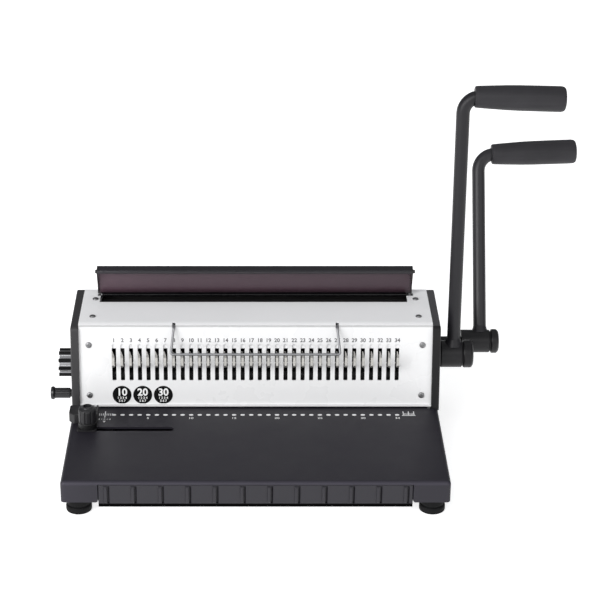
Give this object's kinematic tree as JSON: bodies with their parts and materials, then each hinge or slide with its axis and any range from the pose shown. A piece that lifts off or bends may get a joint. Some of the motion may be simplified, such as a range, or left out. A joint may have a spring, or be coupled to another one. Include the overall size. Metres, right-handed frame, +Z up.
{
  "type": "wire binding machine",
  "caption": "Desk wire binding machine: paper tray, leaning punched front with wire hooks, two cranked levers on the right, dial and knob on the left, hinged lid.",
  "frame": {"origin": "middle of the whole machine's footprint, on the surface it stands on", "axes": "+X to the operator's right, along the row of punches; +Y away from the operator; +Z up"},
  "size_m": [0.534, 0.3278, 0.3574],
  "materials": {
    "rubber_black": "matt",
    "steel_zinc": "zinc plated",
    "steel_grey": "satin",
    "tray_paint": "fine satin paint",
    "drawer_plastic": "satin",
    "side_plastic": "satin",
    "panel_white": "smooth white paint",
    "deck_grey": "light grey paint",
    "hook_steel": "polished",
    "tool_steel": "ground",
    "bright_steel": "bright",
    "lever_paint": "satin black paint",
    "grip_rubber": "matt foam rubber",
    "cap_plastic": "satin",
    "bush_brass": "plain",
    "dial_plastic": "gloss",
    "lid_smoke": "smoked, translucent",
    "chrome_wire": "bright",
    "black_steel": "black oxide",
    "guide_plastic": "satin"
  },
  "bodies": {
    "housing": {"base_pan": "steel_grey", "rubber_feet": "rubber_black", "foot_screws": "steel_zinc", "tray_cover": "tray_paint", "drawer_rails": "steel_grey", "left_side_cover": "side_plastic", "right_side_cover": "side_plastic", "left_frame_plate": "steel_grey", "right_frame_plate": "steel_grey", "front_panel": "panel_white", "top_cover": "deck_grey", "rear_cover": "deck_grey", "panel_screws": "steel_zinc", "hook_comb": "hook_steel", "die_block": "tool_steel", "punch_guide": "tool_steel", "punch_guide_pins": "bright_steel", "return_springs": "bright_steel", "shaft_bushes": "bush_brass", "closing_anvil": "black_steel", "rear_beam": "black_steel", "closing_guide_rods": "bright_steel", "lid_hinge_pin": "bright_steel", "lid_hinge_brackets": "side_plastic", "bail_clips": "steel_grey"},
    "punch_lever": {"punch_lever_rod": "lever_paint", "punch_lever_grip": "grip_rubber", "punch_lever_hub": "lever_paint", "punch_lever_cap": "cap_plastic", "punch_lever_shaft": "black_steel", "punch_pinions": "tool_steel"},
    "punch_bar": {"punch_bar": "black_steel", "punches": "black_steel"},
    "closing_lever": {"closing_lever_rod": "lever_paint", "closing_lever_grip": "grip_rubber", "closing_lever_hub": "lever_paint", "closing_lever_cap": "cap_plastic", "closing_lever_shaft": "black_steel", "closing_pinions": "tool_steel"},
    "closing_bar": {"closing_bar": "black_steel"},
    "size_dial": {"size_dial": "dial_plastic", "size_dial_shaft": "bright_steel", "size_stop_cams": "tool_steel"},
    "paper_stop": {"margin_knob": "dial_plastic", "paper_stop_bar": "tool_steel"},
    "lid": {"lid": "lid_smoke"},
    "bail": {"wire_bail": "chrome_wire"},
    "side_guide": {"side_guide_block": "guide_plastic", "side_guide_shoe": "tool_steel"},
    "guide_knob": {"side_guide_knob": "dial_plastic", "side_guide_stud": "bright_steel"},
    "chip_drawer": {"drawer_front": "drawer_plastic", "drawer_tray": "drawer_plastic"}
  },
  "joints": [
    {"name": "punch_lever_turn", "type": "hinge", "parent": "housing", "child": "punch_lever", "pos_m": [0, 0.02237, 0.0795], "axis": [1, 0, 0], "range_deg": [0, 85]},
    {"name": "punch_bar_slide", "type": "slide", "parent": "housing", "child": "punch_bar", "axis": [0, 0, -1], "range_m": [0, 0.0112], "stiffness_N_per_m": 5000, "springref_m": -0.006, "deforming": ["return_springs"]},
    {"name": "closing_lever_turn", "type": "hinge", "parent": "housing", "child": "closing_lever", "pos_m": [0, 0.06037, 0.0755], "axis": [1, 0, 0], "range_deg": [0, 83]},
    {"name": "closing_bar_slide", "type": "slide", "parent": "housing", "child": "closing_bar", "axis": [0, -1, 0], "range_m": [0, 0.008]},
    {"name": "size_dial_turn", "type": "hinge", "parent": "housing", "child": "size_dial", "pos_m": [0, 0.03037, 0.0657], "axis": [1, 0, 0], "range_deg": [0, 240]},
    {"name": "paper_stop_turn", "type": "hinge", "parent": "housing", "child": "paper_stop", "pos_m": [0, 0.00937, 0.0421], "axis": [1, 0, 0], "range_deg": [0, 270]},
    {"name": "lid_turn", "type": "hinge", "parent": "housing", "child": "lid", "pos_m": [0, 0.07117, 0.1222], "axis": [1, 0, 0], "range_deg": [0, 67.5]},
    {"name": "bail_turn", "type": "hinge", "parent": "housing", "child": "bail", "pos_m": [0, 0.00397, 0.1193], "axis": [-1, 0, 0], "range_deg": [0, 90]},
    {"name": "side_guide_slide", "type": "slide", "parent": "housing", "child": "side_guide", "axis": [1, 0, 0], "range_m": [0, 0.075]},
    {"name": "guide_knob_turn", "type": "hinge", "parent": "side_guide", "child": "guide_knob", "pos_m": [-0.22495, -0.05733, 0.05], "axis": [0, 0, 1], "range_deg": [0, 180]},
    {"name": "chip_drawer_slide", "type": "slide", "parent": "housing", "child": "chip_drawer", "axis": [0, -1, 0], "range_m": [0, 0.12]}
  ],
  "couplings": [
    {"joint": "punch_bar_slide", "follows": "punch_lever_turn", "m_per_rad": 0.0075},
    {"joint": "closing_bar_slide", "follows": "closing_lever_turn", "m_per_rad": 0.0055}
  ]
}
